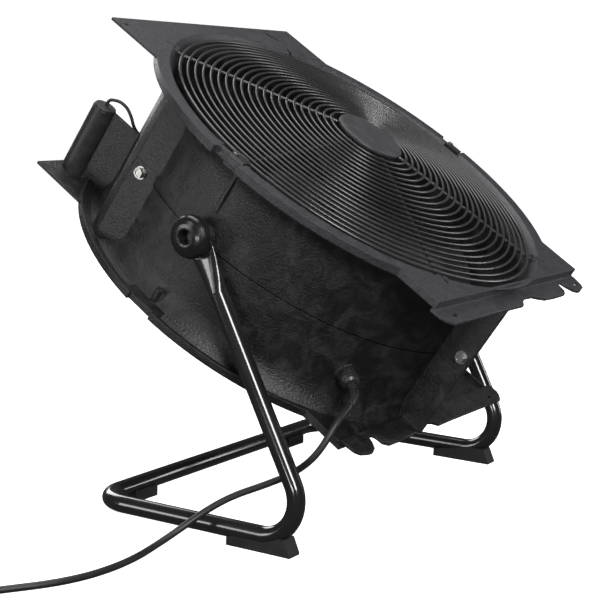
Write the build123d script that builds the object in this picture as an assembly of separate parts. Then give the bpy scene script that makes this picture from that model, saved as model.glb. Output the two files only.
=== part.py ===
from build123d import *
import math
import os

# Axial air mover: a drum fan in a two-piece moulded housing, tilting between
# the arms of a bent-tube floor stand.  +Z up, outlet towards -Y, millimetres.
# The floor is z = 0 and the tilt axis is the line y = 0, z = PIVOT_Z.

# ---------------- driving dimensions ----------------
TILT = 56.5            # outlet axis above the horizontal, as stored
PIVOT_Z = 313.0        # tilt axis above the floor

# stand
TUBE_R = 19.05 / 2     # 3/4 inch tube
TUBE_WALL = 1.5
ARM_X = 234.0          # planes of the arms and rails
RAIL_Z = 16.0
BEND_Y = -154.0        # virtual corner between arm and rail
CROSS_Y = 129.0        # rear cross tube
BEND_R = 40.0
EYE_R = 15.0           # flattened arm end
EYE_T = 4.0
FOOT_H = 6.5

# housing
R_IN = 222.0           # duct bore
R_OUT = 225.0
MOUTH_R = 237.0
F_FRONT = 96.0
F_REAR = -100.0
PART_F = -4.5          # parting plane of the two shells
FLANGE_R = 252.5
EAR_X = 175.0
EAR_U = 256.0
PLATE_T = 3.0
SKIRT_F = 87.2
SKIRT_B = -91.5
LIP_U = 234.0          # fold line of the bottom lips
LIP_STEP = 10.0

# grille
RING_N = 21
RING_OUT = 224.0
RING_IN = 48.6
RING_F = 93.6
DOME = 25.0
CAP_R = 40.0

# impeller and motor
TIP_R = 216.0
HUB_R = 78.0
BLADES = 5

# cord
CORD_D = 7.2

os.makedirs("parts", exist_ok=True)
HEAD = Location((0, 0, PIVOT_Z), (90 - TILT, 0, 0))   # (x, u, f) to the row frame


def solids_of(shape):
    return list(shape.solids())


ROW_Y = 2.82           # the row's origin lies this far behind the tilt axis, at the middle of the whole's depth


def write(name, shape, head=False):
    if isinstance(shape, (list, tuple)):
        parts = []
        for s in shape:
            parts += solids_of(s)
    else:
        parts = solids_of(shape)
    if head:
        parts = [HEAD * s for s in parts]
    parts = [Location((0, -ROW_Y, 0)) * s for s in parts]
    out = parts[0] if len(parts) == 1 else Compound(children=parts)
    export_step(out, f"parts/{name}.step")
    print(name, len(parts), "solid(s)", round(sum(s.volume for s in parts) / 1000, 2), "cm3")
    return out


def box(x0, x1, y0, y1, z0, z1):
    return Pos((x0 + x1) / 2, (y0 + y1) / 2, (z0 + z1) / 2) * Box(abs(x1 - x0), abs(y1 - y0), abs(z1 - z0))


def cyl_z(r, z0, z1, x=0.0, y=0.0):
    return Pos(x, y, (z0 + z1) / 2) * Cylinder(r, abs(z1 - z0))


def cyl_x(r, x0, x1, y=0.0, z=0.0):
    return Pos((x0 + x1) / 2, y, z) * Rot(0, 90, 0) * Cylinder(r, abs(x1 - x0))


def cyl_y(r, y0, y1, x=0.0, z=0.0):
    return Pos(x, (y0 + y1) / 2, z) * Rot(90, 0, 0) * Cylinder(r, abs(y1 - y0))


def poly_face(pts, plane=Plane.XY):
    with BuildPart() as b:
        with BuildSketch(plane) as s:
            with BuildLine() as l:
                Polyline(*pts, close=True)
            make_face()
    return s.sketch


def prism(pts, z0, z1):
    return extrude(Pos(0, 0, z0) * poly_face(pts), amount=z1 - z0, dir=(0, 0, 1))


def revolved(pts):
    """Solid of revolution about Z of the closed polygon of (r, z) points."""
    with BuildPart() as b:
        with BuildSketch(Plane.XZ):
            with BuildLine():
                Polyline(*pts, close=True)
            make_face()
        revolve(axis=Axis.Z)
    return b.part


def mirror_x(shape):
    return mirror(shape, about=Plane.YZ)


# ---------------- stand ----------------
arm_len = math.hypot(BEND_Y, PIVOT_Z - RAIL_Z)
AD = (BEND_Y / arm_len, (RAIL_Z - PIVOT_Z) / arm_len)        # arm direction in (y, z), downwards
ROUND_AT = 62.0                                             # round tube starts this far below the pivot


def on_arm(x, d):
    return (x, AD[0] * d, PIVOT_Z + AD[1] * d)


path_pts = [on_arm(-ARM_X, ROUND_AT), (-ARM_X, BEND_Y, RAIL_Z), (-ARM_X, CROSS_Y, RAIL_Z),
            (ARM_X, CROSS_Y, RAIL_Z), (ARM_X, BEND_Y, RAIL_Z), on_arm(ARM_X, ROUND_AT)]


def stand_tube(r):
    with BuildPart() as b:
        with BuildLine() as l:
            FilletPolyline(*path_pts, radius=BEND_R)
        start = Plane(origin=l.line @ 0, z_dir=l.line % 0)
        with BuildSketch(start):
            Circle(r)
        sweep(path=l.line)
    return b.part


def arm_end(sx):
    pl_dir = (0, AD[0], AD[1])
    p_round = Plane(origin=on_arm(sx * ARM_X, ROUND_AT), x_dir=(1, 0, 0), z_dir=pl_dir)
    p_mid = Plane(origin=on_arm(sx * ARM_X, 38), x_dir=(1, 0, 0), z_dir=pl_dir)
    p_flat = Plane(origin=on_arm(sx * ARM_X, 17), x_dir=(1, 0, 0), z_dir=pl_dir)
    f1 = p_round * Ellipse(TUBE_R, TUBE_R)
    f2 = p_mid * Ellipse(5.2, 12.6)
    f3 = p_flat * Ellipse(EYE_T / 2 + 0.6, 14.6)
    tr = loft([f1, f2, f3])
    eye = cyl_x(EYE_R, sx * ARM_X - EYE_T / 2, sx * ARM_X + EYE_T / 2, 0, PIVOT_Z)
    a = on_arm(0, 0)
    neck = Location(Plane(origin=on_arm(sx * ARM_X, 12), x_dir=(1, 0, 0), z_dir=pl_dir)) * Box(EYE_T, 28.0, 16)
    body = tr + eye + neck
    flat_cut = cyl_x(24, -ARM_X - 60, -ARM_X - EYE_T / 2, 0, PIVOT_Z) + cyl_x(24, -ARM_X + EYE_T / 2, -ARM_X + 60, 0, PIVOT_Z)
    if sx > 0:
        flat_cut = mirror_x(flat_cut)
    body = body - flat_cut
    return body - cyl_x(5.3, sx * ARM_X - 10, sx * ARM_X + 10, 0, PIVOT_Z)


outer = stand_tube(TUBE_R)
inner = stand_tube(TUBE_R - TUBE_WALL)
frame = (outer - inner) + arm_end(-1) + arm_end(1)
FOOT_XY = [(-233.0, -84.0), (233.0, -84.0), (-157.0, 128.5), (157.0, 128.5)]
for fx, fy in FOOT_XY:
    frame = frame - cyl_z(2.0, 0, 14, fx, fy)
write("stand_frame", frame)

front_profile = [(-50, 0), (-127, 0), (-127, 2), (-120, 18), (-100, 18), (-52, 9.5), (-50, 9.5)]


def front_foot(cx):
    pts = front_profile
    with BuildPart() as b:
        with BuildSketch(Plane.YZ.offset(cx - 9.6)):
            with BuildLine():
                Polyline(*pts, close=True)
            make_face()
        extrude(amount=19.2)
    return b.part


def drilled(foot, fx, fy):
    foot = foot - outer
    return foot - cyl_z(2.0, 0, 30, fx, fy) - cyl_z(4.3, -1, 2.5, fx, fy)


for name, cx, (fx, fy) in (("front_foot_left", -232.5, FOOT_XY[0]), ("front_foot_right", 232.5, FOOT_XY[1])):
    f = drilled(front_foot(cx), fx, fy)
    write(name, max(f.solids(), key=lambda s: s.volume))
for name, x0, x1, (fx, fy) in (("rear_foot_left", -176, -138, FOOT_XY[2]), ("rear_foot_right", 138, 176, FOOT_XY[3])):
    f = box(x0, x1, 117, 139.5, 0, 12)
    f = fillet(f.edges().filter_by(Axis.Z), 2)
    f = drilled(f, fx, fy)
    write(name, max(f.solids(), key=lambda s: s.volume))
write("foot_screws", [cyl_z(4.0, 0.6, 2.5, fx, fy) + cyl_z(2.0, 2.5, 12, fx, fy) for fx, fy in FOOT_XY])
write("arm_washers", [cyl_x(12, s * (ARM_X + 2), s * (ARM_X + 3.5), 0, PIVOT_Z) - cyl_x(5.3, s * (ARM_X + 1), s * (ARM_X + 5), 0, PIVOT_Z) for s in (-1, 1)])

# ---------------- housing shells ----------------


def wall_profile(f_part, f_face, sgn):
    """(r, f) outline of a shell wall: bore, bellmouth out to the flange face, outside back to the parting plane."""
    f_bend = f_face - sgn * 34.0
    inner_pts, outer_pts = [], []
    rho = 46.0
    n = 8
    amax = math.radians(47.6)
    for i in range(n + 1):
        a = amax * i / n
        inner_pts.append((R_IN + rho * (1 - math.cos(a)), f_bend + sgn * rho * math.sin(a)))
    inner_pts[-1] = (MOUTH_R, f_face)
    rho2 = 43.0
    amax2 = math.asin(31.0 / 43.0)
    for i in range(n + 1):
        a = amax2 * i / n
        outer_pts.append((R_OUT + rho2 * (1 - math.cos(a)), f_bend + sgn * rho2 * math.sin(a)))
    pts = [(R_IN, f_part)] + inner_pts + [(MOUTH_R + 3, f_face)] + outer_pts[::-1] + [(R_OUT, f_part)]
    return pts


def outline():
    """Flange outline: a disc with a straight-edged ear band at the top, cut off at the bottom fold."""
    disc = Circle(FLANGE_R)
    top = Pos(0, (EAR_U) / 2) * Rectangle(2 * EAR_X, EAR_U)
    bot = Pos(0, -LIP_U / 2) * Rectangle(2 * EAR_X, LIP_U)
    sk = disc + top + bot
    sk = sk - Pos(0, -LIP_U - 50) * Rectangle(700, 100)
    # wire-end notches at mid height
    for s in (-1, 1):
        sk = sk - Pos(s * (243 + 15), 8) * Rectangle(30, 34)
    return sk


def lip_face(hook_side, ear_slot=True):
    """Bottom lip with its hanging hook on one side and the slotted ear on the other (u down the page)."""
    k = hook_side
    pts = [(-177, -231), (-177, -244), (-173, -250), (-165, -256.5), (-39, -256.5), (-2, -257), (6, -251.5), (20, -248),
           (36, -248.5), (47, -253), (58, -256.5), (84, -257.5), (112, -257), (120, -252), (122, -243), (127, -238), (133, -240),
           (136, -247), (142, -255), (150, -258.5), (158, -258), (170, -255), (175, -250), (178, -238), (178, -231)]
    pts = [(k * x, u) for x, u in pts]
    sk = poly_face(pts)
    sk = sk - Pos(-149 * k, -246.5) * SlotOverall(9, 4.2, rotation=0)
    if ear_slot:
        sk = sk - Pos(163 * k, -246.5) * SlotOverall(11, 4.5)
    return sk


def flange(f_face, sgn, hook_side):
    """Plate, skirt, ears and stepped bottom lip.  sgn +1 faces +f, -1 faces -f."""
    sk = outline()
    z0, z1 = (f_face - PLATE_T, f_face) if sgn > 0 else (f_face, f_face + PLATE_T)
    plate = extrude(Pos(0, 0, z0) * (sk - Circle(MOUTH_R)), amount=PLATE_T, dir=(0, 0, 1))
    # skirt: a 3 mm rim behind the plate, below the ears
    s0, s1 = (SKIRT_F, f_face - PLATE_T) if sgn > 0 else (f_face + PLATE_T, SKIRT_B)
    disc_rim = Circle(FLANGE_R) + Pos(0, -LIP_U / 2) * Rectangle(2 * EAR_X, LIP_U)
    disc_in = Circle(FLANGE_R - 3) + Pos(0, -LIP_U / 2) * Rectangle(2 * (EAR_X - 3), LIP_U - 0)
    for s in (-1, 1):
        disc_rim = disc_rim - Pos(s * (243 + 15), 8) * Rectangle(30, 34)
        disc_in = disc_in - Pos(s * (240 + 15), 8) * Rectangle(30, 40)
    band = Pos(0, (219.0 - LIP_U) / 2) * Rectangle(700, 219.0 + LIP_U)
    rim = (disc_rim & band) - (disc_in & (Pos(0, (222.0 - LIP_U + 3) / 2) * Rectangle(700, 222.0 + LIP_U - 3)))
    skirt = extrude(Pos(0, 0, s0) * rim, amount=abs(s1 - s0), dir=(0, 0, 1))
    body = plate + skirt
    # fold wall and lip, stepped back from the face
    if sgn > 0:
        l0, l1 = f_face - LIP_STEP - PLATE_T, f_face - LIP_STEP
        w0, w1 = l0, f_face
    else:
        l0, l1 = f_face + LIP_STEP, f_face + LIP_STEP + PLATE_T
        w0, w1 = f_face, l1
    wall = box(-EAR_X, EAR_X, -LIP_U, -LIP_U + 3, w0, w1)
    lip = extrude(Pos(0, 0, l0) * lip_face(hook_side, sgn > 0), amount=PLATE_T, dir=(0, 0, 1))
    return body + wall + lip


FIN_TOP_X0, FIN_TOP_X1 = -207.0, -197.7
FIN_TOP_XM = -202.3
FIN_BOT_X0, FIN_BOT_X1 = -44.0, -37.0
FIN_BOT_XM = -40.5
LAP_TOP = (-14.0, 7.5)
LAP_BOT = (-4.0, 27.0)
SOLID_R_IN = R_OUT - 1.5


def duct_void(f_part, f_face, sgn):
    """The air passage of one shell, bellmouth included."""
    ins = [p for p in wall_profile(f_part, f_face, sgn)[:10]]
    return revolved([(0, f_part - sgn * 20), (R_IN, f_part - sgn * 20)] + ins + [(MOUTH_R, f_face + sgn * 5), (0, f_face + sgn * 5)])


def top_fin(x0, x1, f0, f1):
    blank = box(x0, x1, 60, 160, f0, f1)
    return (blank & cyl_z(241, f0, f1)) - cyl_z(SOLID_R_IN, f0 - 1, f1 + 1)


def bot_fin(x0, x1, f0, f1):
    return box(x0, x1, -256.5, -200, f0, f1) - cyl_z(SOLID_R_IN, f0 - 1, f1 + 1)


def hexhead(r_flat, length):
    return extrude(RegularPolygon(r_flat, 6, major_radius=False), amount=length)


BOLTS = [(-207.0, 110.0, -3.5, 1), (207.0, 110.0, -3.5, -1), (-44.0, -246.0, 11.0, 1)]   # x of head face, u, f, direction



def bolt_depth(bx):
    """The upper bolts cut their thread in the inner tongue; the lower one goes through to a nut."""
    return 8.3 if abs(bx) > 100 else 20.0



def build_front():
    body = revolved(wall_profile(PART_F, F_FRONT, 1))
    body = body + flange(F_FRONT, 1, 1)
    # fins: full thickness in front of the lap, one tongue through it
    fins = top_fin(FIN_TOP_X0, FIN_TOP_X1, LAP_TOP[1], F_FRONT - 2) + top_fin(FIN_TOP_XM, FIN_TOP_X1, LAP_TOP[0], LAP_TOP[1])
    fins = fins + mirror_x(fins)
    lower = bot_fin(FIN_BOT_X0, FIN_BOT_X1, LAP_BOT[1], F_FRONT - LIP_STEP - 1) + bot_fin(FIN_BOT_X0, FIN_BOT_XM, LAP_BOT[0], LAP_BOT[1])
    fins = fins + lower
    for s in (-1, 1):
        # tongue and pad round the tilt axis
        pad = cyl_x(15.0, s * 221.4, s * 229.0)
        body = body + pad
        body = body - cyl_x(5.0, s * 215, s * 240)
        body = body - (Pos(s * 222.0, 0, 0) * Rot(0, s * 90, 0) * hexhead(8.5, 4.0))
        body = body + (box(s * 220, s * 227.5, -2, 2, 30, 78) - cyl_z(R_IN + 1.5, 20, 90))
        # clip pads for the horizontal grille stay
    return body, fins


front, front_fins = build_front()
front_fins = front_fins - duct_void(PART_F, F_FRONT, 1)
for fin in front_fins.solids():
    front = front + fin
# material of each shell stays on its own side of the parting plane
front_keep = cyl_z(400, PART_F, 300)
tongues = cyl_x(15.0, -240, -221.4) + cyl_x(15.0, 221.4, 240)
# lap tongues reach past the parting plane outside the drum
tongue_top = box(FIN_TOP_XM, FIN_TOP_X1, 60, 160, LAP_TOP[0], 0) - cyl_z(R_OUT + 0.2, -50, 50)
tongue_top = tongue_top + mirror_x(tongue_top)
front = front & (front_keep + tongues + tongue_top)

# pockets and stay slots in the front flange for the grille's wire ends
STAYS = [60, 120, 240, 300]
SPOKE_R = 2.0
SPOKE_F_OUT = RING_F - 1.4 - SPOKE_R + 0.3
for a in STAYS:
    boss = Rot(0, 0, a) * box(230.5, 249, -7, 7, SPOKE_F_OUT - SPOKE_R - 4, F_FRONT - 1)
    front = front + boss
for a in STAYS:
    front = front - Rot(0, 0, a) * box(228.0, 246, -2.0, 2.0, SPOKE_F_OUT - SPOKE_R, F_FRONT + 5)
for s in (-1, 1):
    seat = box(s * 229, s * 242.5, -12, 12, SPOKE_F_OUT - SPOKE_R - 5, F_FRONT - PLATE_T + 1)
    front = front + seat
    front = front - box(s * 222, s * 240.5, -2.0, 2.0, SPOKE_F_OUT - SPOKE_R, F_FRONT + 5)
    front = front - box(s * 229.3, s * 246, -9.3, 10.8, F_FRONT - PLATE_T + 1, F_FRONT + 3)
    front = front - cyl_z(1.6, F_FRONT - 12, F_FRONT + 5, s * 236.5, 6.5)
# ear holes
front = front - cyl_z(2.4, 80, 110, -163, 243) - cyl_z(2.4, 80, 110, 163, 243)
front = front - (Pos(120.6, 239, F_FRONT - 10) * Rot(0, 0, -52) * extrude(SlotOverall(20, 8), amount=20))
BOLT_R = 3.0
for bx, bu, bf, sg in BOLTS:
    front = front - cyl_x(BOLT_R, bx - sg * 3, bx + sg * bolt_depth(bx), bu, bf)


def build_rear():
    body = revolved(wall_profile(PART_F, F_REAR, -1))
    body = body + flange(F_REAR, -1, -1)
    fins = top_fin(FIN_TOP_X0, FIN_TOP_X1, F_REAR + 2, LAP_TOP[0]) + top_fin(FIN_TOP_X0, FIN_TOP_XM, LAP_TOP[0], LAP_TOP[1])
    fins = fins + mirror_x(fins)
    fins = fins + bot_fin(FIN_BOT_X0, FIN_BOT_X1, F_REAR + LIP_STEP + 1, LAP_BOT[0]) + bot_fin(FIN_BOT_XM, FIN_BOT_X1, LAP_BOT[0], LAP_BOT[1])
    body = body + (fins - duct_void(PART_F, F_REAR, -1))
    return body


rear = build_rear()
# rim pads, mid-height posts, capacitor web
for s in (-1, 1):
    pad = (box(s * 226, s * 249, -14, 35, F_REAR + 1, SKIRT_B) & cyl_z(FLANGE_R - 1, -110, -80)) - cyl_z(R_OUT + 6, -110, -91)
    rear = rear + pad
    rear = rear + (cyl_z(4.0, F_REAR + 2, -75, s * 231.5, 6) - cyl_z(R_OUT - 1, -110, -60))
WEB_X0, WEB_X1 = -131.0, -127.0
web = prism([(WEB_X0, 170), (WEB_X1, 170), (WEB_X1, 224.4), (WEB_X0, 224.4)], F_REAR + 1, -9) - cyl_z(R_OUT - 1.5, -110, 10)
rear = rear + (web - duct_void(PART_F, F_REAR, -1))
rear_keep = cyl_z(400, -200, PART_F)
lap_rear_top = box(FIN_TOP_X0, FIN_TOP_XM, 60, 160, PART_F - 1, LAP_TOP[1]) - cyl_z(R_OUT + 0.2, -50, 50)
lap_rear_top = lap_rear_top + mirror_x(lap_rear_top)
lap_rear_bot = box(FIN_BOT_XM, FIN_BOT_X1, -256.5, -200, PART_F - 1, LAP_BOT[1]) - cyl_z(R_OUT + 0.2, -50, 50)
rear = rear & (rear_keep + lap_rear_top + lap_rear_bot)
rear = rear - cyl_x(15.2, -245, -210) - cyl_x(15.2, 210, 245)
for bx, bu, bf, sg in BOLTS:
    rear = rear - cyl_x(BOLT_R, bx - sg * 3, bx + sg * bolt_depth(bx), bu, bf)
# capacitor stud hole and cord gland hole
CAP_X, CAP_U, CAP_F0, CAP_F1, CAPAC_R = -131.0, 239.0, -96.0, -9.0, 14.0
rear = rear - cyl_z(4.2, -112, -96, CAP_X, CAP_U)
GL_ANG, GL_F = 234.0, -51.6
GLX, GLU = math.cos(math.radians(GL_ANG)), math.sin(math.radians(GL_ANG))
gl_loc = Location((R_OUT * GLX, R_OUT * GLU, GL_F), (0, 0, GL_ANG)) * Location((0, 0, 0), (0, 90, 0))
gl_pad = gl_loc * (Pos(0, 0, -1.6) * Cylinder(13.5, 4.4))
rear = rear + gl_pad
rear = rear - gl_loc * Cylinder(6.0, 40)

# hole for the capacitor's sleeved leads
ld0, ld1 = Vector(-114.0, 196.0, -16.0), Vector(-110.0, 188.5, -17.0)
rear = rear - Location(Plane(origin=(ld0 + ld1) * 0.5, z_dir=(ld1 - ld0).normalized())) * Cylinder(2.7, 14)

# motor bracket arms bolt to four blocks inside the rear shell
BR_F0, BR_F1 = -66.0, -62.0
ARMS = [45, 135, 225, 315]
for a in ARMS:
    rear = rear + Rot(0, 0, a) * box(206, 223.5, -11, 11, BR_F0 - 14, BR_F0)
for a in ARMS:
    rear = rear - Rot(0, 0, a) * cyl_z(2.5, BR_F0 - 12, BR_F0 + 1, 213, 0)
# rear guard stay pockets
REAR_RING_F = -90.0
for a in (0, 60, 120, 180, 240, 300):
    rear = rear - Rot(0, 0, a) * box(220.0, 228.4, -2.0, 2.0, REAR_RING_F - 0.5, REAR_RING_F + 5.0)

fs = sorted(front.solids(), key=lambda s: -s.volume)
rs = sorted(rear.solids(), key=lambda s: -s.volume)
print("front pieces", [round(s.volume, 1) for s in fs[:5]], "rear pieces", [round(s.volume, 1) for s in rs[:5]])
front, rear = fs[0], rs[0]
write("front_shell", front, True)
write("rear_shell", rear, True)

# ---------------- front guard ----------------
RING_WIRE = 1.4        # ring wire radius


def ring_f(r):
    return RING_F + DOME * (RING_OUT - r) / (RING_OUT - CAP_R)


def wire(points, r):
    with BuildPart() as b:
        with BuildLine() as l:
            if len(points) == 2:
                Line(*points)
            else:
                Polyline(*points)
        with BuildSketch(Plane(origin=l.line @ 0, z_dir=l.line % 0)):
            Circle(r)
        sweep(path=l.line, transition=Transition.RIGHT)
    return b.part




def ring_of(r, f, wr):
    """Wire ring of eight-sided section."""
    pts = [(r + wr * 1.04 * math.cos(math.radians(22.5 + 45 * k)), f + wr * 1.04 * math.sin(math.radians(22.5 + 45 * k))) for k in range(8)]
    return Rot(0, 0, 17) * revolved(pts)


rings = []
for i in range(RING_N):
    r = RING_OUT - (RING_OUT - RING_IN) * i / (RING_N - 1)
    rings.append(ring_of(r, ring_f(r), RING_WIRE))
spoke_drop = RING_WIRE + SPOKE_R - 0.3
spokes = []
for a in range(0, 360, 60):
    tip = 245.5 if a in STAYS else 240.0
    pts = [(26, 0, ring_f(26) - spoke_drop), (RING_OUT, 0, RING_F - spoke_drop), (tip, 0, RING_F - spoke_drop)]
    spokes.append(Rot(0, 0, a) * wire(pts, SPOKE_R))
hub_ring = cyl_z(31, ring_f(40) - spoke_drop - 1.0, ring_f(40) - spoke_drop + 4.2) - cyl_z(22, 90, 130)
guard = spokes[0]
for s in spokes[1:]:
    guard = guard + s
guard = guard + hub_ring
guard = guard + rings
write("front_grille", guard, True)
CAP_F0 = ring_f(40) - spoke_drop + 4.2
cap = revolved([(0, CAP_F0), (36.5, CAP_F0), (36.5, CAP_F0 - 2.6), (39.0, CAP_F0 - 2.6), (CAP_R, CAP_F0 - 1.0), (CAP_R, CAP_F0 + 1.2), (39.2, CAP_F0 + 2.2), (36, CAP_F0 + 2.9), (0, CAP_F0 + 3.6)])
for a in (30, 150, 270):
    cap = cap - cyl_z(1.5, CAP_F0 - 1, CAP_F0 + 1.2, 26 * math.cos(math.radians(a)), 26 * math.sin(math.radians(a)))
for a in range(0, 360, 60):
    cap = cap - Rot(0, 0, a) * box(31, 42, -2.6, 2.6, CAP_F0 - 4, CAP_F0 - 0.9)
write("grille_cap", cap, True)

# clips that hold the horizontal stay ends, with their screws
CLIP_F0 = F_FRONT - PLATE_T + 1


def clip(s):
    c = box(s * 229.5, s * 242.3, -9, 10.5, CLIP_F0, CLIP_F0 + 4.0) - box(s * 222, s * 240.6, -2.05, 2.05, CLIP_F0 - 1, SPOKE_F_OUT + SPOKE_R + 0.05)
    return c - cyl_z(1.6, CLIP_F0 - 5, CLIP_F0 + 9, s * 236.5, 6.5)


write("grille_clips", [clip(-1), clip(1)], True)
write("grille_screws", [cyl_z(3.4, CLIP_F0 + 4.0, CLIP_F0 + 6.0, s * 236.5, 6.5) + cyl_z(1.6, F_FRONT - 12, CLIP_F0 + 4.0, s * 236.5, 6.5)
                        - (Pos(s * 236.5, 6.5, CLIP_F0 + 5.0) * (Box(4.6, 0.9, 3) + Box(0.9, 4.6, 3))) for s in (-1, 1)], True)

# ---------------- rear guard ----------------
rr = []
for i in range(12):
    r = 222.5 - i * 14.6 + 3.0
    rr.append(ring_of(r, REAR_RING_F, 1.4))
rg = None
for a in range(0, 360, 60):
    sp = Rot(0, 0, a) * wire([(61.0, 0, REAR_RING_F + 3.0), (228.2, 0, REAR_RING_F + 3.0)], 2.0)
    rg = sp if rg is None else rg + sp
rg = rg + rr
write("rear_grille", rg, True)

# ---------------- motor ----------------
bracket = cyl_z(52, BR_F0, BR_F1)
for a in ARMS:
    bracket = bracket + Rot(0, 0, a) * box(30, 221, -9, 9, BR_F0, BR_F1)
    bracket = bracket - Rot(0, 0, a) * cyl_z(2.6, BR_F0 - 1, BR_F1 + 1, 213, 0)
bracket = bracket - cyl_z(14.2, BR_F0 - 1, BR_F1 + 1)
MS = [20, 110, 200, 290]
for a in MS:
    bracket = bracket - Rot(0, 0, a) * cyl_z(2.1, BR_F0 - 1, BR_F1 + 1, 30, 0)
bracket = bracket - cyl_z(4.5, BR_F0 - 1, BR_F1 + 1, -24, -36)
write("motor_bracket", bracket, True)

stator = cyl_z(40, BR_F1, BR_F1 + 5) + cyl_z(14.0, BR_F0 - 2, 6) + cyl_z(46, -44, -6)
for k in range(24):
    stator = stator - Rot(0, 0, k * 15) * box(34, 47, -1.2, 1.2, -45, -5)
stator = stator + (cyl_z(40, -50, -44) + cyl_z(40, -6, -1))
stator = stator - cyl_z(9.0, -70, 10) - cyl_z(11.0, BR_F0 - 3, BR_F0 + 5) - cyl_z(11.0, -1, 7)
for a in MS:
    stator = stator - Rot(0, 0, a) * cyl_z(1.8, BR_F1 - 1, BR_F1 + 5, 30, 0)
write("motor_stator", stator, True)
write("motor_bearings", [cyl_z(11.0, BR_F0 - 2, BR_F0 + 5) - cyl_z(5.04, -90, 20), cyl_z(11.0, -1, 6) - cyl_z(5.04, -90, 20)], True)
write("motor_screws", [Rot(0, 0, a) * (cyl_z(3.8, BR_F0 - 2.4, BR_F0, 30, 0) + cyl_z(1.8, BR_F0, BR_F1 + 4.6, 30, 0)) for a in MS], True)
write("bracket_bolts", [Rot(0, 0, a) * (cyl_z(4.6, BR_F1, BR_F1 + 3.5, 213, 0) + cyl_z(2.5, BR_F0 - 10, BR_F1, 213, 0)) for a in ARMS], True)

# rotor bell with its shaft, and the impeller screwed to it
bell = cyl_z(60, -52, 15) - cyl_z(47.2, -60, 11) + cyl_z(12, 8.2, 15)
bell = bell - cyl_z(5.0, 0, 20)
IS = [0, 90, 180, 270]
for a in IS:
    bell = bell - Rot(0, 0, a) * cyl_z(2.0, 0, 20, 50, 0)
write("rotor_bell", bell, True)
write("rotor_shaft", cyl_z(5.0, BR_F0 - 4, 18.0), True)

hub = revolved([(0, 15), (60.3, 15), (60.3, -36), (HUB_R - 3, -36), (HUB_R - 0.6, -36), (HUB_R, -34), (HUB_R, 12), (HUB_R - 3, 17), (HUB_R - 10, 20), (0, 20)])
hub = hub - cyl_z(12, 14, 21)


def blade_section(r, pitch_deg, chord, thick, ang0):
    """Thin cambered section on a tangent plane at radius r, turned to the pitch angle."""
    pl = Plane(origin=(r, 0, 0), x_dir=(0, 1, 0), z_dir=(1, 0, 0))
    n = 7
    pts = []
    c = chord / 2
    camber = 0.09 * chord
    th = math.radians(pitch_deg)
    for i in range(n):
        t = -1 + 2 * i / (n - 1)
        w = thick / 2 * (0.35 + 0.65 * (1 - t * t) ** 0.5)
        pts.append((c * t, camber * (1 - t * t) + w))
    for i in range(n - 1, -1, -1):
        t = -1 + 2 * i / (n - 1)
        w = thick / 2 * (0.35 + 0.65 * (1 - t * t) ** 0.5)
        pts.append((c * t, camber * (1 - t * t) - w))
    rot = [(x * math.cos(th) - y * math.sin(th), x * math.sin(th) + y * math.cos(th)) for x, y in pts]
    # local x = tangential (+Y), local y = axial
    pl = Plane(origin=(r, 0, 0), x_dir=(0, 1, 0), z_dir=(1, 0, 0))
    w3 = [pl.from_local_coords(Vector(a, b, 0)) for a, b in rot]
    w = Wire.make_polygon(w3, close=True)
    return Rot(0, 0, ang0) * Face(w)


def blade(a):
    secs = [blade_section(70, 40, 66, 5.0, a - 4), blade_section(118, 33, 92, 4.2, a), blade_section(170, 27, 112, 3.6, a + 6), blade_section(224, 22, 128, 3.0, a + 13)]
    b = loft(secs)
    return (b & cyl_z(TIP_R, -60, 60)) - cyl_z(HUB_R - 2, -60, 60)


imp = hub
ROT0 = 20.0
for k in range(BLADES):
    imp = imp + Pos(0, 0, -8) * blade(ROT0 + k * 360 / BLADES)
for a in IS:
    imp = imp - Rot(0, 0, a) * cyl_z(2.0, 10, 25, 50, 0)
write("impeller", imp, True)
write("impeller_screws", [Rot(0, 0, a) * (cyl_z(3.8, 20, 22.5, 50, 0) + cyl_z(2.0, 11.0, 20, 50, 0)) for a in IS], True)

# ---------------- capacitor on the rear flange ----------------
CAPAC_SEAT = F_REAR + PLATE_T
capac = cyl_z(CAPAC_R, CAPAC_SEAT, -12.0, CAP_X, CAP_U) + cyl_z(CAPAC_R - 1.2, -12.0, -9.0, CAP_X, CAP_U)
capac = fillet(capac.edges().group_by(Axis.Z)[-1], 1.0)
capac = capac + cyl_z(4.0, F_REAR - 8.0, CAPAC_SEAT, CAP_X, CAP_U)      # M8 fixing stud
write("capacitor", capac, True)
# nut and washer under the flange
cnut = Pos(CAP_X, CAP_U, F_REAR - 6.4) * extrude(RegularPolygon(6.5, 6, major_radius=False), amount=5.0)
cnut = cnut + cyl_z(8.0, F_REAR - 1.4, F_REAR, CAP_X, CAP_U) - cyl_z(4.05, -112, -90, CAP_X, CAP_U)
write("capacitor_nut", cnut, True)


def tube(points, d, name=None, quiet=False, k=0.45):
    """Round tube along straight runs joined by arcs as large as the runs allow."""
    v = [Vector(*p) for p in points]
    radii = []
    for i in range(1, len(v) - 1):
        a, b = v[i] - v[i - 1], v[i + 1] - v[i]
        turn = math.radians(a.get_angle(b))
        radii.append(k * min(a.length, b.length) / math.tan(turn / 2))
    with BuildPart() as bp:
        with BuildLine() as l:
            FilletPolyline(*points, radius=radii)
        with BuildSketch(Plane(origin=l.line @ 0, z_dir=l.line % 0)):
            Circle(d / 2)
        sweep(path=l.line)
    length = sum(e.length for e in l.line.edges())
    if not quiet:
        print(name, "length", round(length, 1), "volume/section*length", round(bp.part.volume / (math.pi * d * d / 4 * length), 4),
              "radii", [round(r, 1) for r in radii], "runs", [round((v[i + 1] - v[i]).length, 1) for i in range(len(v) - 1)])
    return bp.part, length


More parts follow.
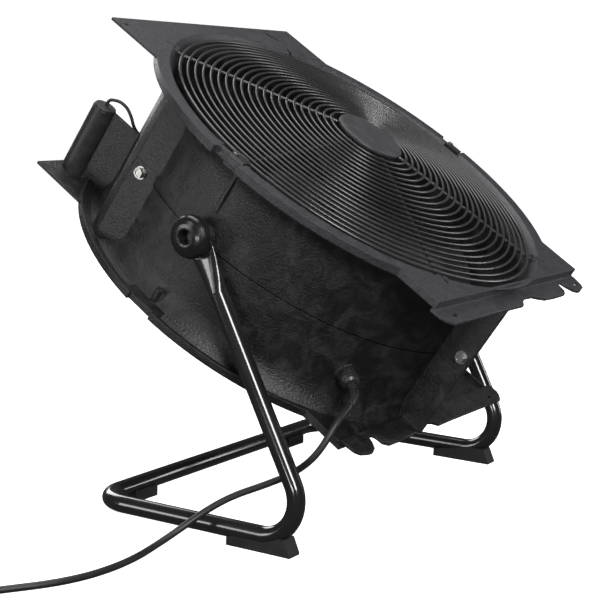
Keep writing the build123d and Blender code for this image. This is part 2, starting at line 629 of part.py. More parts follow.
# sleeved leads from the capacitor's end back through the shell wall
LEAD_D = 3.8
lead_pts = [(CAP_X + 2.0, CAP_U + 1.5, -9.0), (CAP_X + 2.0, CAP_U + 1.5, -1.0), (-122.5, 231.5, 3.0), (-118.0, 221.5, 1.0), (-116.5, 211.5, -5.0), (-115.5, 203.5, -12.5), (-113.5, 196.0, -16.2), (-110.0, 188.5, -17.0)]
lead, _ = tube(lead_pts, LEAD_D, "capacitor_lead")
write("capacitor_lead", lead, True)

# ---------------- pivots and knobs ----------------
STUD_R = 5.0
studs = []
for s in (-1, 1):
    st = (Pos(s * 222.0, 0, 0) * Rot(0, s * 90, 0) * hexhead(8.5, 4.0)) + cyl_x(STUD_R, s * 226, s * 246)
    studs.append(st)
write("pivot_studs", studs, True)
write("friction_washers", [cyl_x(14.0, s * 229.0, s * 232.0) - cyl_x(5.1, s * 220, s * 240) for s in (-1, 1)], True)

KNOB_X0 = ARM_X + 3.5
INS_R = 8.0


def knob(s):
    prof = [(9.0, 0), (19.0, 0), (21.4, 1.2), (22.5, 3.4), (22.6, 8.2), (21.9, 10.6), (20.2, 13.0), (17.2, 15.3), (13.4, 16.9), (9.6, 17.6), (7.8, 17.2), (7.2, 16.2), (7.2, 9.5), (INS_R, 9.5), (INS_R, 0)]
    k = revolved(prof)
    for i in range(30):
        a = i * 12
        k = k - Rot(0, 0, a) * (Pos(23.1, 0, 3.8) * Cylinder(1.15, 9.0))
    return Pos(s * KNOB_X0, 0, PIVOT_Z) * Rot(0, s * 90, 0) * k


def insert(s):
    k = cyl_z(INS_R, 0, 9.5) - cyl_z(STUD_R + 0.05, -1, 12)
    return Pos(s * KNOB_X0, 0, PIVOT_Z) * Rot(0, s * 90, 0) * k


for name, s in (("left", -1), ("right", 1)):
    write(f"knob_{name}", knob(s))
    write(f"knob_insert_{name}", insert(s))

# ---------------- shell bolts ----------------
bolts, nuts = [], []
for bx, bu, bf, sg in BOLTS:
    thick = (FIN_TOP_X1 - FIN_TOP_X0) if abs(bx) > 100 else (FIN_BOT_X1 - FIN_BOT_X0)
    base = Location((bx, bu, bf)) * Location((0, 0, 0), (0, -sg * 90, 0))
    # flange, hex head with a dished top, shank through both tongues
    head = Cylinder(7.25, 1.2, align=(Align.CENTER, Align.CENTER, Align.MIN))
    head = head + Pos(0, 0, 1.2) * hexhead(5.0, 4.3)
    head = head - Pos(0, 0, 4.6) * Cylinder(3.4, 2, align=(Align.CENTER, Align.CENTER, Align.MIN))
    ls = 8.3 if abs(bx) > 100 else thick + 7.0
    shank = Pos(0, 0, -ls) * Cylinder(BOLT_R, ls, align=(Align.CENTER, Align.CENTER, Align.MIN))
    bolts.append(base * (head + shank))
    if abs(bx) > 100:
        continue
    nut = hexhead(5.0, 5.0) + Cylinder(7.0, 1.2, align=(Align.CENTER, Align.CENTER, Align.MIN))
    nut = nut - Cylinder(BOLT_R, 30)
    nuts.append(Location((bx + sg * thick, bu, bf)) * Location((0, 0, 0), (0, sg * 90, 0)) * nut)
write("shell_bolts", bolts, True)
write("shell_nut", nuts, True)

# ---------------- cord gland ----------------
gland = Cylinder(6.0, 10.0, align=(Align.CENTER, Align.CENTER, Align.MIN))
gland = Pos(0, 0, -8.0) * gland
gland = gland + extrude(RegularPolygon(10.0, 6, major_radius=False), amount=5.0).moved(Location((0, 0, 0.6)))
gland = gland + Pos(0, 0, 5.6) * Cylinder(8.4, 3.4, align=(Align.CENTER, Align.CENTER, Align.MIN))
gland = gland - Cylinder(CORD_D / 2 + 0.2, 60)
write("gland_body", gl_loc * gland, True)
gnut = revolved([(8.4, 4.6 + 1.0), (11.0, 5.6), (11.2, 7.0), (11.2, 10.5), (9.6, 14.5), (7.2, 17.0), (CORD_D / 2 + 0.2, 17.0), (CORD_D / 2 + 0.2, 9.0), (8.4, 9.0)])
for i in range(12):
    gnut = gnut - Rot(0, 0, i * 30) * (Pos(11.9, 0, 8.6) * Cylinder(1.3, 4.0))
write("gland_nut", gl_loc * gnut, True)
lock = extrude(RegularPolygon(9.5, 6, major_radius=False), amount=3.5) - Cylinder(6.0, 20)
write("gland_locknut", gl_loc * (Pos(0, 0, -7.3) * lock), True)

# ---------------- mains cord ----------------
E_UX, E_UY = -0.5, 0.8660254
COIL_C = (-497.0, 108.0)
TURN = CORD_D
COIL_RM = 40.0
e_pt = (COIL_C[0] + (COIL_RM + TURN / 2) * -0.8660254, COIL_C[1] + (COIL_RM + TURN / 2) * -0.5)
CORD_Z = 3.7
exit_dir = (-0.5878, -0.6746, -0.4465)
g_end = (-142.3, -134.8, 161.9)
drop_route = [g_end, (-149.7, -143.3, 156.3), (-161.5, -149.8, 150.0), (-194.3, -153.7, 135.1), (-210.6, -142.6, 102.8), (-213.3, -114.5, 79.8),
              (-222.9, -82.1, 64.0), (-236.1, -51.6, 50.3), (-252.7, -28.5, 33.3), (-275.5, -12.5, 15.7), (-306.8, -3.6, CORD_Z)]
floor_route = [(-341.0, -9.4, CORD_Z), (-375.8, -10.6, CORD_Z), (-410.4, -6.1, CORD_Z), (-443.2, 6.0, CORD_Z), (-472.9, 24.5, CORD_Z),
               (-500.0, 42.0, CORD_Z), (-520.8, 62.0, CORD_Z), (e_pt[0], e_pt[1], CORD_Z)]
print("entry", [round(v, 1) for v in e_pt])
coil = Pos(COIL_C[0], COIL_C[1], 0) * revolved([(COIL_RM - TURN, 1.6), (COIL_RM - TURN + 1.5, 0.1), (COIL_RM + TURN - 1.5, 0.1), (COIL_RM + TURN, 1.6),
                                               (COIL_RM + TURN, 13.0), (COIL_RM + TURN - 1.5, 14.5), (COIL_RM - TURN + 1.5, 14.5), (COIL_RM - TURN, 13.0)])
write("cord_coil", coil)

drop, drop_len = tube(drop_route + floor_route[:1], CORD_D, "drop and first floor run")
whole, whole_len = tube(drop_route + floor_route, CORD_D, "mains cord to the coil")
# the hanging stretch and the stretch on the floor meet at a plane across the cord
CUT_X = -318.0
half_a = box(CUT_X, 400, -600, 600, -50, 400)
half_b = box(-900, CUT_X, -600, 600, -50, 400)
hang = whole & half_a
floor_tube = whole & half_b
write("cord_hanging", max(hang.solids(), key=lambda s: s.volume))
write("cord_floor", max(floor_tube.solids(), key=lambda s: s.volume))

# tail from the top of the coil to the plug
t0 = Vector(e_pt[0], e_pt[1], 10.9)
tail_route = [(t0.X, t0.Y, t0.Z), (t0.X - 12.5, t0.Y + 21.7, 13.5), (t0.X - 21.0, t0.Y + 46.0, 18.4), (t0.X - 26.0, t0.Y + 67.0, 18.4)]
tail, tail_len = tube(tail_route, CORD_D, "tail")
write("cord_tail", max(tail.solids(), key=lambda s: s.volume))

pend = Vector(*tail_route[-1])
pdir = (pend - Vector(*tail_route[-2])).normalized()
pdir = Vector(pdir.X, pdir.Y, 0).normalized()
plug_pl = Plane(origin=(pend.X, pend.Y, pend.Z), x_dir=(0, 0, 1), z_dir=(pdir.X, pdir.Y, 0))
PL = Location(plug_pl)
prof = [(0, 0), (5.0, 0), (5.6, 12), (8.5, 20), (14.0, 26), (17.6, 30), (18.2, 34), (18.2, 50), (17.6, 51), (0, 51)]
plug = revolved(prof)
for sx in (-1, 1):
    plug = plug - box(sx * 13.6, sx * 20, -8, 8, 30, 52)      # flats with the earth springs
for sx in (-1, 1):
    plug = plug - cyl_z(1.9, 40, 60, 0, sx * 9.5)
plug_f = PL * plug
write("mains_plug", plug_f)
pins = [PL * (cyl_z(1.9, 40.0, 51.4, 0, sx * 9.5) + cyl_z(2.4, 51.4, 69.0, 0, sx * 9.5) + Pos(0, sx * 9.5, 69.0) * Sphere(2.4)) for sx in (-1, 1)]
write("plug_pins", pins)
springs = [PL * box(sx * 13.6, sx * 15.0, -3, 3, 32, 51) for sx in (-1, 1)]
write("plug_earth_strips", springs)
print("plug low point", round(plug_f.bounding_box().min.Z, 2))
turns = 4
coil_len = turns * 2 * math.pi * COIL_RM
print("cord length", round(whole_len + coil_len + tail_len, 0), "of which coil", round(coil_len, 0))
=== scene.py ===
import bpy
import bmesh
import math
from mathutils import Vector, Matrix


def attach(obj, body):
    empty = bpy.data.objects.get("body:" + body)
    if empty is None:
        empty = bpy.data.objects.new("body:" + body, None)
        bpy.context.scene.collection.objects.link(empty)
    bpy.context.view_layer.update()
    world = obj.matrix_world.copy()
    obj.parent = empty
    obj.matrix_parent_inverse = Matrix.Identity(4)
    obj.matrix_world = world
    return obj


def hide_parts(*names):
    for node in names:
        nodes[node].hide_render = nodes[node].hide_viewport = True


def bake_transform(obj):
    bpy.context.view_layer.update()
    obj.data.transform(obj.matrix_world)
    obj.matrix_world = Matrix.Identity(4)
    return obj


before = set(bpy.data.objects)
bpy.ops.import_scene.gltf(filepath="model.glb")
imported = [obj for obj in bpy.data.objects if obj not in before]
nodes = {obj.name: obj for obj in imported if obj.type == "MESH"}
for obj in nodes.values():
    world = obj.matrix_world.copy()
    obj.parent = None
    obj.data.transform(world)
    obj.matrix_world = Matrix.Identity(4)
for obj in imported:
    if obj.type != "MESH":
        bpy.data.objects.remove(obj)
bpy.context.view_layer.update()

ROW_Y = -0.00282          # the tilt axis in the row frame
PIVOT = Vector((0, ROW_Y, 0.313))
TILT = math.radians(56.5)


def head(x, u, f):
    """Point of the housing, millimetres across, up and along the outlet axis, in the row frame."""
    x, u, f = x / 1000, u / 1000, f / 1000
    return Vector((x, -f * math.cos(TILT) + u * math.sin(TILT), f * math.sin(TILT) + u * math.cos(TILT))) + PIVOT


# ------------------------------------------------------------------ camera
cam_data = bpy.data.cameras.new("camera")
cam = bpy.data.objects.new("camera", cam_data)
bpy.context.scene.collection.objects.link(cam)
bpy.context.scene.camera = cam
AZ, EL, ROLL = math.radians(-58.088), math.radians(8.39), math.radians(1.62)
back = Vector((math.sin(AZ) * math.cos(EL), -math.cos(AZ) * math.cos(EL), math.sin(EL)))
right = Vector((math.cos(AZ), math.sin(AZ), 0))
up = back.cross(right).normalized()
right2 = math.cos(ROLL) * right + math.sin(ROLL) * up
up2 = -math.sin(ROLL) * right + math.cos(ROLL) * up
m = Matrix((right2, up2, back)).transposed().to_4x4()
m.translation = Vector((-1.4415, -0.8779 + ROW_Y, 0.470))
cam.matrix_world = m
cam_data.sensor_width = 36.0
cam_data.lens = 88.47
cam_data.clip_end = 60

# ------------------------------------------------------------------ mains lead
CORD_D = 0.0072
COIL_C = (-0.497, 0.108)
COIL_R = 0.040
EXIT = (-0.1423, -0.1348, 0.1619)
ROUTE = [EXIT, (-0.1497, -0.1433, 0.1563), (-0.1626, -0.1480, 0.1498), (-0.1968, -0.1500, 0.1345), (-0.2131, -0.1388, 0.1025),
         (-0.2146, -0.1125, 0.0797), (-0.2229, -0.0821, 0.0640), (-0.2361, -0.0516, 0.0503), (-0.2527, -0.0285, 0.0333),
         (-0.2755, -0.0125, 0.0157), (-0.3068, -0.0036, 0.0037), (-0.3410, -0.0094, 0.0037), (-0.3758, -0.0106, 0.0037),
         (-0.4104, -0.0061, 0.0037), (-0.4432, 0.0060, 0.0037), (-0.4729, 0.0245, 0.0037), (-0.5000, 0.0420, 0.0037), (-0.5208, 0.0620, 0.0037)]
N_TURN = 14
K_TURN = 1.0 / math.cos(math.pi / N_TURN)
coil_pts = []
START = math.radians(210)
for k in range(4 * N_TURN + 1):
    turn = k / N_TURN
    ang = START - 2 * math.pi * turn
    ro, zo = [(0.0436, 0.0037), (0.0364, 0.0037), (0.0364, 0.0109), (0.0436, 0.0109)][min(3, int(turn))], None
    r, z = ro
    frac = turn - int(turn)
    i = min(3, int(turn))
    if i < 3 and frac > 0.8:
        r2, z2 = [(0.0364, 0.0037), (0.0364, 0.0109), (0.0436, 0.0109)][i]
        w = (frac - 0.8) / 0.2
        r = r + (r2 - r) * w
        z = z + (z2 - z) * w
    if turn >= 4:
        r, z = 0.0436, 0.0109
    coil_pts.append((COIL_C[0] + r * K_TURN * math.cos(ang), COIL_C[1] + r * K_TURN * math.sin(ang), z))
ex, ey = COIL_C[0] - 0.0436 * 0.8660254, COIL_C[1] - 0.0436 * 0.5
TAIL = [(ex - 0.0125, ey + 0.0217, 0.0135), (ex - 0.0210, ey + 0.0460, 0.0184), (ex - 0.0260, ey + 0.0670, 0.0184)]


def shifted(p):
    return (p[0], p[1] + ROW_Y, p[2])


def nurbs(name, pts):
    cu = bpy.data.curves.new(name, "CURVE")
    cu.dimensions = "3D"
    sp = cu.splines.new("NURBS")
    sp.points.add(len(pts) - 1)
    for q, p in zip(sp.points, pts):
        q.co = (*p, 1.0)
    sp.order_u = 3
    sp.use_endpoint_u = True
    sp.resolution_u = 8
    ob = bpy.data.objects.new(name, cu)
    bpy.context.scene.collection.objects.link(ob)
    return ob


def spline_points(ob):
    bpy.context.view_layer.update()
    me = bpy.data.meshes.new_from_object(ob)
    pts = [v.co.copy() for v in me.vertices]
    bpy.data.meshes.remove(me)
    out = [pts[0]]
    for p in pts[1:]:
        if (p - out[-1]).length > 1e-5:
            out.append(p)
    return out


def tube_mesh(name, pts, radius_at, sides=20):
    """Round tube along pts with a radius by distance, closed at both ends."""
    me = bpy.data.meshes.new(name)
    bm = bmesh.new()
    rings, dist = [], 0.0
    ref = Vector((0, 0, 1))
    prev_n = None
    for i, p in enumerate(pts):
        a = pts[max(0, i - 1)]
        b = pts[min(len(pts) - 1, i + 1)]
        t = (b - a).normalized()
        if prev_n is None:
            n = t.orthogonal().normalized()
        else:
            n = (prev_n - t * prev_n.dot(t)).normalized()
        prev_n = n
        bi = t.cross(n)
        if i:
            dist += (p - pts[i - 1]).length
        r = radius_at(dist)
        rings.append([bm.verts.new(p + (n * math.cos(2 * math.pi * k / sides) + bi * math.sin(2 * math.pi * k / sides)) * r) for k in range(sides)])
    for r0, r1 in zip(rings, rings[1:]):
        for k in range(sides):
            f = bm.faces.new((r0[k], r0[(k + 1) % sides], r1[(k + 1) % sides], r1[k]))
            f.smooth = True
    bm.faces.new(rings[0][::-1])
    bm.faces.new(rings[-1])
    bm.normal_update()
    bm.to_mesh(me)
    bm.free()
    ob = bpy.data.objects.new(name, me)
    bpy.context.scene.collection.objects.link(ob)
    return ob


route_all = [shifted(p) for p in ROUTE + coil_pts + TAIL]
guide = nurbs("cord_guide", route_all)
cord_path = spline_points(guide)
bpy.data.objects.remove(guide)
cord = tube_mesh("mains_cord", cord_path, lambda s: CORD_D / 2, 24)
total = sum((b - a).length for a, b in zip(cord_path, cord_path[1:]))
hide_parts("cord_hanging", "cord_floor", "cord_coil", "cord_tail")
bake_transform(cord)

# tapered strain relief on the lead, from the gland's nut on
RELIEF_L = 0.030
relief_path, run = [cord_path[0]], 0.0
for p, q in zip(cord_path, cord_path[1:]):
    run += (q - p).length
    relief_path.append(q)
    if run > RELIEF_L:
        break


def relief_r(d):
    k = min(1.0, d / RELIEF_L)
    ridge = 0.00028 * math.cos(2 * math.pi * d / 0.0042)
    return CORD_D / 2 + 0.0005 + 0.0016 * (1 - k) + (ridge if 0.003 < d < 0.027 else 0.0)


fine = []
for p, q in zip(relief_path, relief_path[1:]):
    steps = max(1, int((q - p).length / 0.0005))
    fine += [p.lerp(q, i / steps) for i in range(steps)]
fine.append(relief_path[-1])
relief = tube_mesh("strain_relief", fine, relief_r, 24)
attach(relief, "housing")


# ------------------------------------------------------------------ materials
def new_mat(name):
    mat = bpy.data.materials.new(name)
    mat.use_nodes = True
    nt = mat.node_tree
    for n in list(nt.nodes):
        nt.nodes.remove(n)
    out = nt.nodes.new("ShaderNodeOutputMaterial")
    b = nt.nodes.new("ShaderNodeBsdfPrincipled")
    nt.links.new(b.outputs[0], out.inputs[0])
    return mat, nt, b


def coords(nt):
    t = nt.nodes.new("ShaderNodeTexCoord")
    return t.outputs["Object"]


def noise(nt, vec, scale, detail=4, rough=0.55, dist=0.0):
    n = nt.nodes.new("ShaderNodeTexNoise")
    n.inputs["Scale"].default_value = scale
    n.inputs["Detail"].default_value = detail
    n.inputs["Roughness"].default_value = rough
    n.inputs["Distortion"].default_value = dist
    nt.links.new(vec, n.inputs["Vector"])
    return n.outputs["Fac"]


def ramp(nt, fac, stops):
    r = nt.nodes.new("ShaderNodeValToRGB")
    e = r.color_ramp.elements
    e[0].position, e[0].color = stops[0][0], (*stops[0][1], 1)
    e[1].position, e[1].color = stops[-1][0], (*stops[-1][1], 1)
    for pos, col in stops[1:-1]:
        x = e.new(pos)
        x.color = (*col, 1)
    nt.links.new(fac, r.inputs["Fac"])
    return r.outputs["Color"]


def maprange(nt, fac, lo, hi, a=0.0, b=1.0):
    n = nt.nodes.new("ShaderNodeMapRange")
    n.inputs["From Min"].default_value = a
    n.inputs["From Max"].default_value = b
    n.inputs["To Min"].default_value = lo
    n.inputs["To Max"].default_value = hi
    nt.links.new(fac, n.inputs["Value"])
    return n.outputs["Result"]


def mixf(nt, a, b, fac):
    n = nt.nodes.new("ShaderNodeMath")
    n.operation = "MULTIPLY_ADD"
    nt.links.new(a, n.inputs[0])
    n.inputs[1].default_value = fac
    nt.links.new(b, n.inputs[2])
    return n.outputs[0]


def bump(nt, height, strength, distance, normal=None):
    n = nt.nodes.new("ShaderNodeBump")
    n.inputs["Strength"].default_value = strength
    n.inputs["Distance"].default_value = distance
    nt.links.new(height, n.inputs["Height"])
    if normal is not None:
        nt.links.new(normal, n.inputs["Normal"])
    return n.outputs["Normal"]


def rounded(nt, radius):
    n = nt.nodes.new("ShaderNodeBevel")
    n.samples = 4
    n.inputs["Radius"].default_value = radius
    return n.outputs["Normal"]


def plastic(name, dark, mid, light, rough_lo, rough_hi, grain=900, mottle=22, bump_s=0.25, edge=0.0012, spec=0.5, swirl=1.2, depth=0.0004):
    mat, nt, b = new_mat(name)
    v = coords(nt)
    cloud = noise(nt, v, mottle, 6, 0.62, swirl)
    fine = noise(nt, v, grain, 3, 0.6)
    mid_n = noise(nt, v, mottle * 9, 5, 0.6, 0.4)
    nt.links.new(ramp(nt, mixf(nt, mid_n, cloud, 0.25), [(0.35, dark), (0.6, mid), (0.85, light)]), b.inputs["Base Color"])
    nt.links.new(maprange(nt, mixf(nt, mid_n, cloud, 0.35), rough_lo, rough_hi, 0.4, 0.95), b.inputs["Roughness"])
    b.inputs["Specular IOR Level"].default_value = spec
    h = mixf(nt, mid_n, fine, 0.6)
    nt.links.new(bump(nt, h, bump_s, depth, rounded(nt, edge) if edge else None), b.inputs["Normal"])
    return mat


def metal(name, col, rough, scale=400, var=0.12, edge=0.0004, metallic=1.0):
    mat, nt, b = new_mat(name)
    v = coords(nt)
    n1 = noise(nt, v, scale, 4, 0.6)
    n2 = noise(nt, v, 60, 3, 0.5)
    c0 = tuple(c * (1 - var) for c in col)
    c1 = tuple(min(1, c * (1 + var)) for c in col)
    nt.links.new(ramp(nt, n2, [(0.3, c0), (0.7, c1)]), b.inputs["Base Color"])
    b.inputs["Metallic"].default_value = metallic
    nt.links.new(maprange(nt, n1, rough * 0.7, rough * 1.35), b.inputs["Roughness"])
    nt.links.new(bump(nt, n1, 0.12, 0.0002, rounded(nt, edge) if edge else None), b.inputs["Normal"])
    return mat


def enamel(name, col, rough, coat=0.6, orange=140, edge=0.0):
    mat, nt, b = new_mat(name)
    v = coords(nt)
    n1 = noise(nt, v, orange, 2, 0.4)
    n2 = noise(nt, v, 9, 4, 0.6)
    spots = noise(nt, v, 1500, 1, 0.5)
    nt.links.new(ramp(nt, n2, [(0.3, tuple(c * 0.75 for c in col)), (0.75, tuple(c * 1.4 for c in col))]), b.inputs["Base Color"])
    nt.links.new(maprange(nt, n2, rough * 0.75, rough * 1.4, 0.3, 0.7), b.inputs["Roughness"])
    b.inputs["Coat Weight"].default_value = coat
    b.inputs["Coat Roughness"].default_value = 0.06
    nt.links.new(bump(nt, mixf(nt, spots, n1, 0.15), 0.06, 0.0004, rounded(nt, edge) if edge else None), b.inputs["Normal"])
    return mat


MAT = {}
MAT["housing"] = plastic("housing_moulding", (0.0024, 0.0024, 0.0025), (0.0076, 0.0075, 0.0078), (0.0260, 0.0254, 0.0270), 0.27, 0.53, grain=480, mottle=34, bump_s=0.75, edge=0.0018, depth=0.0009)
# painted sheen: the flange faces are painted paler, mottled and with a slight violet cast, where the top and front
# light falls on them
nt = MAT["housing"].node_tree
b = next(n for n in nt.nodes if n.type == "BSDF_PRINCIPLED")
body_col = b.inputs["Base Color"].links[0].from_socket
dot = nt.nodes.new("ShaderNodeVectorMath")
dot.operation = "DOT_PRODUCT"
v = coords(nt)
nt.links.new(v, dot.inputs[0])
dot.inputs[1].default_value = (0, -math.cos(TILT), math.sin(TILT))
# mask of the front flange faces, where the painted sheen goes
flange_sheen_mask = maprange(nt, dot.outputs["Value"], 0.0, 1.0, 0.26257 + 0.074, 0.26257 + 0.0815)
# the painted sheen colour: paler, mottled, with a slight violet cast
flange_painted_sheen = ramp(nt, noise(nt, v, 160, 6, 0.65, 0.6), [(0.3, (0.017, 0.016, 0.019)), (0.55, (0.030, 0.0285, 0.034)), (0.8, (0.052, 0.050, 0.058))])
mix = nt.nodes.new("ShaderNodeMix")
mix.data_type = "RGBA"
nt.links.new(flange_sheen_mask, mix.inputs[0])
nt.links.new(body_col, mix.inputs[6])
nt.links.new(flange_painted_sheen, mix.inputs[7])
nt.links.new(mix.outputs[2], b.inputs["Base Color"])

MAT["stand"] = enamel("stand_gloss_black", (0.010, 0.010, 0.011), 0.17, coat=0.5)
MAT["foot"] = plastic("foot_rubber", (0.007, 0.007, 0.0075), (0.012, 0.012, 0.013), (0.022, 0.022, 0.024), 0.55, 0.8, grain=1500, mottle=60, edge=0.0012, spec=0.3)
MAT["zinc"] = metal("zinc_plate", (0.30, 0.295, 0.285), 0.34)
MAT["wire"] = enamel("guard_coating", (0.020, 0.020, 0.021), 0.30, coat=0.25, orange=600)
MAT["cap"] = plastic("cap_plastic", (0.022, 0.022, 0.024), (0.030, 0.030, 0.033), (0.042, 0.042, 0.045), 0.42, 0.58, grain=1400, mottle=40, bump_s=0.15, edge=0.0008)
MAT["blade"] = plastic("impeller_plastic", (0.010, 0.010, 0.011), (0.016, 0.016, 0.017), (0.026, 0.026, 0.028), 0.28, 0.45, grain=1200, mottle=30, bump_s=0.12, edge=0.001)
MAT["bracket"] = enamel("bracket_paint", (0.014, 0.014, 0.015), 0.4, coat=0.1)
MAT["motor"] = metal("motor_laminations", (0.30, 0.29, 0.28), 0.42)
MAT["rotor"] = enamel("rotor_paint", (0.02, 0.02, 0.02), 0.4, coat=0.1)
MAT["knob"] = plastic("knob_plastic", (0.006, 0.006, 0.0065), (0.009, 0.009, 0.010), (0.014, 0.014, 0.015), 0.16, 0.28, grain=1600, mottle=70, bump_s=0.06, edge=0.0007, spec=0.55)
MAT["insert"] = metal("dark_insert_metal", (0.045, 0.045, 0.048), 0.35)
MAT["fibre"] = plastic("fibre_washer", (0.012, 0.012, 0.012), (0.02, 0.02, 0.02), (0.03, 0.03, 0.03), 0.6, 0.85, edge=0.0)
MAT["capacitor"] = plastic("capacitor_case", (0.010, 0.010, 0.011), (0.015, 0.015, 0.016), (0.024, 0.024, 0.026), 0.38, 0.58, grain=1300, mottle=50, bump_s=0.15, edge=0.0008)
MAT["nylon"] = plastic("gland_nylon", (0.009, 0.009, 0.010), (0.014, 0.014, 0.015), (0.022, 0.022, 0.024), 0.3, 0.48, grain=1500, mottle=70, bump_s=0.12, edge=0.0006)
MAT["cord"] = plastic("cord_jacket", (0.008, 0.008, 0.009), (0.013, 0.013, 0.014), (0.022, 0.022, 0.024), 0.36, 0.55, grain=1800, mottle=80, bump_s=0.12, edge=0.0, spec=0.45)
MAT["nickel"] = metal("plug_nickel", (0.66, 0.64, 0.60), 0.2)

NODE_MAT = {
    "stand_frame": "stand", "front_foot_left": "foot", "front_foot_right": "foot", "rear_foot_left": "foot", "rear_foot_right": "foot",
    "foot_screws": "zinc", "arm_washers": "zinc", "front_shell": "housing", "rear_shell": "housing", "front_grille": "wire", "grille_cap": "cap",
    "grille_clips": "nylon", "grille_screws": "zinc", "rear_grille": "wire", "motor_bracket": "bracket", "motor_stator": "motor", "motor_bearings": "motor",
    "motor_screws": "zinc", "bracket_bolts": "zinc", "rotor_bell": "rotor", "rotor_shaft": "motor", "impeller": "blade", "impeller_screws": "zinc",
    # pivot_studs take the dark insert metal instead of zinc, so their ends in the knob holes come out dark
    "capacitor": "capacitor", "capacitor_nut": "zinc", "capacitor_lead": "cord", "pivot_studs": "insert", "friction_washers": "fibre",
    "knob_left": "knob", "knob_right": "knob", "knob_insert_left": "insert", "knob_insert_right": "insert", "shell_bolts": "zinc", "shell_nut": "zinc",
    "gland_body": "nylon", "gland_nut": "nylon", "gland_locknut": "nylon", "cord_hanging": "cord", "cord_floor": "cord", "cord_coil": "cord", "cord_tail": "cord",
    "mains_plug": "cord", "plug_pins": "nickel", "plug_earth_strips": "nickel"}
for n, ob in nodes.items():
    ob.data.materials.clear()
    ob.data.materials.append(MAT[NODE_MAT.get(n, "bracket")])
cord.data.materials.append(MAT["cord"])
relief.data.materials.append(MAT["nylon"])

# ------------------------------------------------------------------ wire guards with round, welded wires
HEAD_M = Matrix.Translation(PIVOT) @ Matrix.Rotation(math.radians(90) - TILT, 4, "X")


def ring_mesh(bm, r, f, wr, seg=168, sides=10):
    rows = []
    for i in range(seg):
        a = 2 * math.pi * i / seg
        row = []
        for k in range(sides):
            b = 2 * math.pi * k / sides
            rr = r + wr * math.cos(b)
            row.append(bm.verts.new((rr * math.cos(a), rr * math.sin(a), f + wr * math.sin(b))))
        rows.append(row)
    for i in range(seg):
        r0, r1 = rows[i], rows[(i + 1) % seg]
        for k in range(sides):
            bm.faces.new((r0[k], r1[k], r1[(k + 1) % sides], r0[(k + 1) % sides])).smooth = True


def rod_mesh(bm, pts, wr, sides=12):
    rows = []
    for i, p in enumerate(pts):
        t = (Vector(pts[min(i + 1, len(pts) - 1)]) - Vector(pts[max(i - 1, 0)])).normalized()
        n = t.cross(Vector((0, 0, 1)))
        n = n.normalized() if n.length > 1e-4 else Vector((1, 0, 0))
        bi = t.cross(n)
        rows.append([bm.verts.new(Vector(p) + (n * math.cos(2 * math.pi * k / sides) + bi * math.sin(2 * math.pi * k / sides)) * wr) for k in range(sides)])
    for r0, r1 in zip(rows, rows[1:]):
        for k in range(sides):
            bm.faces.new((r0[k], r0[(k + 1) % sides], r1[(k + 1) % sides], r1[k])).smooth = True
    bm.faces.new(rows[0][::-1])
    bm.faces.new(rows[-1])


def finish_mesh(name, bm, body, mat, *replaced):
    bm.transform(HEAD_M)
    bmesh.ops.recalc_face_normals(bm, faces=bm.faces)
    me = bpy.data.meshes.new(name)
    bm.to_mesh(me)
    bm.free()
    ob = bpy.data.objects.new(name, me)
    bpy.context.scene.collection.objects.link(ob)
    me.materials.append(mat)
    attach(ob, body)
    if replaced:
        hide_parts(*replaced)
    return ob


def ring_f(r):
    return 0.0936 + 0.025 * (0.224 - r) / 0.184


bm = bmesh.new()
for i in range(21):
    r = 0.224 - (0.224 - 0.0486) * i / 20
    ring_mesh(bm, r, ring_f(r), 0.0015 if i else 0.0020)
drop = 0.0031
for a in range(0, 360, 60):
    tip = 0.2455 if a in (60, 120, 240, 300) else 0.240
    c, s = math.cos(math.radians(a)), math.sin(math.radians(a))
    pts = []
    for q in range(13):
        rr = 0.026 + (0.224 - 0.026) * q / 12
        pts.append((rr * c, rr * s, ring_f(rr) - drop))
    pts.append((tip * c, tip * s, 0.0936 - drop))
    rod_mesh(bm, pts, 0.0020)
ring_mesh(bm, 0.0265, ring_f(0.04) - drop + 0.0016, 0.0026, 64, 8)
finish_mesh("guard_front", bm, "housing", MAT["wire"], "front_grille")

bm = bmesh.new()
for i in range(12):
    ring_mesh(bm, 0.2255 - i * 0.0146, -0.090, 0.0015)
for a in range(0, 360, 60):
    c, s = math.cos(math.radians(a)), math.sin(math.radians(a))
    rod_mesh(bm, [((0.061 + 0.167 * q / 6) * c, (0.061 + 0.167 * q / 6) * s, -0.087) for q in range(7)], 0.0020)
finish_mesh("guard_rear", bm, "housing", MAT["wire"], "rear_grille")

# painted shade: a near-black ring, standing 0.12 mm proud, paints the shadow of the gap between the two shells
PART_R, PART_F = 0.2250, -0.0045
bm = bmesh.new()
SEG = 256
loop = []
for i in range(SEG):
    a = 2 * math.pi * i / SEG
    c, s = math.cos(a), math.sin(a)
    loop.append([bm.verts.new((r * c, r * s, f)) for r, f in ((PART_R - 0.0006, PART_F - 0.00045), (PART_R + 0.00012, PART_F - 0.00045), (PART_R + 0.00012, PART_F + 0.00045), (PART_R - 0.0006, PART_F + 0.00045))])
for i in range(SEG):
    r0, r1 = loop[i], loop[(i + 1) % SEG]
    for k in range(4):
        bm.faces.new((r0[k], r1[k], r1[(k + 1) % 4], r0[(k + 1) % 4]))
# near-black matte that paints the gap's shade
MAT["gap"] = plastic("parting_gap", (0.0004, 0.0004, 0.0004), (0.0008, 0.0008, 0.0008), (0.0016, 0.0016, 0.0016), 0.9, 1.0, edge=0.0, spec=0.05)
finish_mesh("parting_gap", bm, "housing", MAT["gap"])

# ------------------------------------------------------------------ stage and light
def plane(name, size, loc, mat):
    me = bpy.data.meshes.new(name)
    s = size / 2
    me.from_pydata([(-s, -s, 0), (s, -s, 0), (s, s, 0), (-s, s, 0)], [], [(0, 1, 2, 3)])
    ob = bpy.data.objects.new(name, me)
    ob.location = loc
    me.materials.append(mat)
    bpy.context.scene.collection.objects.link(ob)
    return ob


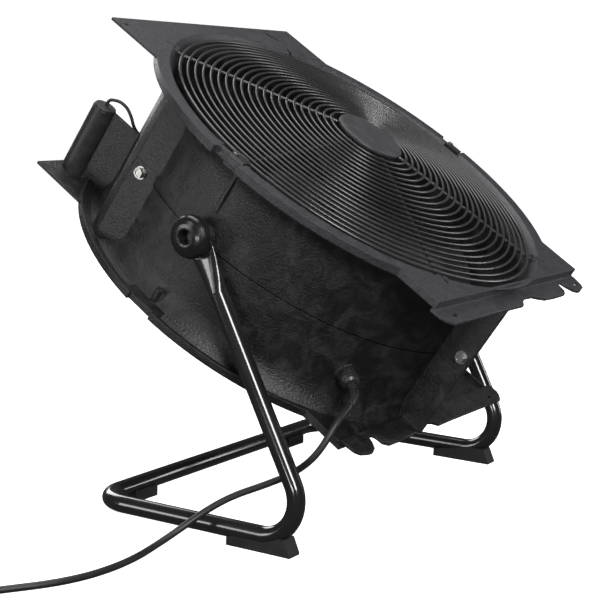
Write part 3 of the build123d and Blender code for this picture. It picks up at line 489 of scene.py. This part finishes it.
fm, fnt, fb = new_mat("studio_floor")
fb.inputs["Base Color"].default_value = (0.9, 0.9, 0.9, 1)
fb.inputs["Roughness"].default_value = 0.9
fb.inputs["Specular IOR Level"].default_value = 0.0
fb.inputs["Emission Color"].default_value = (1, 1, 1, 1)
fb.inputs["Emission Strength"].default_value = 0.94
floor = plane("floor", 24, (0, 0, 0), fm)
floor.visible_diffuse = False
floor.visible_glossy = False

# pale wall all round, behind the object from every side
wm, wnt, wb = new_mat("studio_wall")
wb.inputs["Base Color"].default_value = (0.9, 0.9, 0.9, 1)
wb.inputs["Roughness"].default_value = 0.9
wb.inputs["Specular IOR Level"].default_value = 0.0
wb.inputs["Emission Color"].default_value = (1, 1, 1, 1)
wb.inputs["Emission Strength"].default_value = 1.0
bm = bmesh.new()
rim = [bm.verts.new((11.5 * math.cos(2 * math.pi * i / 48), 11.5 * math.sin(2 * math.pi * i / 48), 0)) for i in range(48)]
top = [bm.verts.new((11.5 * math.cos(2 * math.pi * i / 48), 11.5 * math.sin(2 * math.pi * i / 48), 9)) for i in range(48)]
for i in range(48):
    bm.faces.new((rim[i], top[i], top[(i + 1) % 48], rim[(i + 1) % 48]))
bm.faces.new(top)
me = bpy.data.meshes.new("wall")
bm.to_mesh(me)
bm.free()
wall = bpy.data.objects.new("wall", me)
me.materials.append(wm)
bpy.context.scene.collection.objects.link(wall)
wall.visible_diffuse = False
wall.visible_glossy = False
wall.visible_shadow = False

w = bpy.data.worlds.new("studio")
bpy.context.scene.world = w
w.use_nodes = True
bg = w.node_tree.nodes["Background"]
bg.inputs["Color"].default_value = (1, 1, 1, 1)
bg.inputs["Strength"].default_value = 0.07
bpy.context.scene.view_settings.view_transform = "Standard"


def area(name, loc, target, sx, sy, power):
    d = bpy.data.lights.new(name, "AREA")
    d.shape = "RECTANGLE"
    d.size, d.size_y = sx, sy
    d.energy = power
    o = bpy.data.objects.new(name, d)
    o.location = loc
    o.rotation_euler = (Vector(target) - Vector(loc)).to_track_quat("-Z", "Y").to_euler()
    bpy.context.scene.collection.objects.link(o)
    return o


area("top", (0.2, 0.2, 2.6), (0, 0, 0.3), 2.0, 2.0, 50)
area("left", (-2.4, 0.9, 1.6), (-0.1, 0, 0.3), 0.7, 1.8, 10)
area("front", (-1.9, -2.3, 1.5), (0, 0, 0.3), 0.9, 1.8, 104)
area("low_left", (-1.9, 1.25, 0.42), (-0.2, 0, 0.25), 0.6, 0.7, 9)
area("low_front", (-2.2, -0.5, 0.12), (-0.15, 0, 0.25), 0.5, 0.22, 6)
area("right", (2.0, -1.6, 1.0), (0, 0, 0.3), 0.5, 1.8, 18)
area("back", (1.4, 2.6, 1.7), (0, 0, 0.3), 1.4, 1.6, 34)
